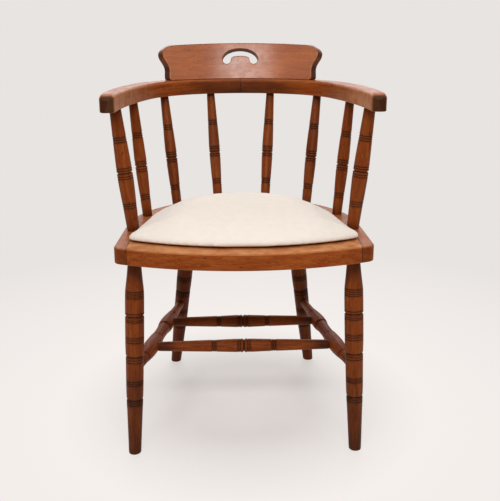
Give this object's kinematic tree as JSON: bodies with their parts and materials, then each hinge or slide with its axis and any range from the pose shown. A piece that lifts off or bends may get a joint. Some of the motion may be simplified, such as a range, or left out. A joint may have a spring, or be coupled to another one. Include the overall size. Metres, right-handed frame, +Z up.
{
  "type": "captains chair",
  "caption": "Low-backed wooden armchair with turned legs and spindles, a bent arm bow, a crest rail with a hand hole, and a padded drop-in seat.",
  "frame": {"origin": "on the floor under the middle of the chair's bounding box", "axes": "+Z up, -Y towards the front of the chair, where the sitter's knees are, +X to the right of someone who looks at the front"},
  "size_m": [0.5292, 0.5782, 0.8083],
  "materials": {
    "stained_hardwood": "satin",
    "seat_fabric": "matt",
    "plywood": "matt",
    "beech": "matt",
    "steel": "satin"
  },
  "bodies": {
    "root": {"leg_front_left": "stained_hardwood", "leg_front_right": "stained_hardwood", "leg_rear_left": "stained_hardwood", "leg_rear_right": "stained_hardwood", "side_stretcher_left": "stained_hardwood", "side_stretcher_right": "stained_hardwood", "arm_post_left": "stained_hardwood", "arm_post_right": "stained_hardwood", "spindle_side_left": "stained_hardwood", "spindle_side_right": "stained_hardwood", "spindle_corner_left": "stained_hardwood", "spindle_corner_right": "stained_hardwood", "spindle_back_left": "stained_hardwood", "spindle_back_right": "stained_hardwood", "arm_left": "stained_hardwood", "arm_right": "stained_hardwood", "seat_side_rail_left": "stained_hardwood", "seat_side_rail_right": "stained_hardwood", "cross_stretcher_front": "stained_hardwood", "cross_stretcher_rear": "stained_hardwood", "seat_front_rail": "stained_hardwood", "seat_back_rail": "stained_hardwood", "crest_rail": "stained_hardwood", "seat_board": "plywood", "seat_pad": "seat_fabric", "seat_dowel_left_1": "beech", "seat_dowel_left_2": "beech", "seat_dowel_left_3": "beech", "seat_dowel_left_4": "beech", "seat_screw_left_1": "steel", "seat_screw_left_2": "steel", "seat_screw_left_3": "steel", "crest_screw_left_1": "steel", "crest_screw_left_2": "steel", "seat_dowel_right_1": "beech", "seat_dowel_right_2": "beech", "seat_dowel_right_3": "beech", "seat_dowel_right_4": "beech", "seat_screw_right_1": "steel", "seat_screw_right_2": "steel", "seat_screw_right_3": "steel", "crest_screw_right_1": "steel", "crest_screw_right_2": "steel", "arm_dowel_1": "beech", "arm_dowel_2": "beech"}
  },
  "joints": []
}
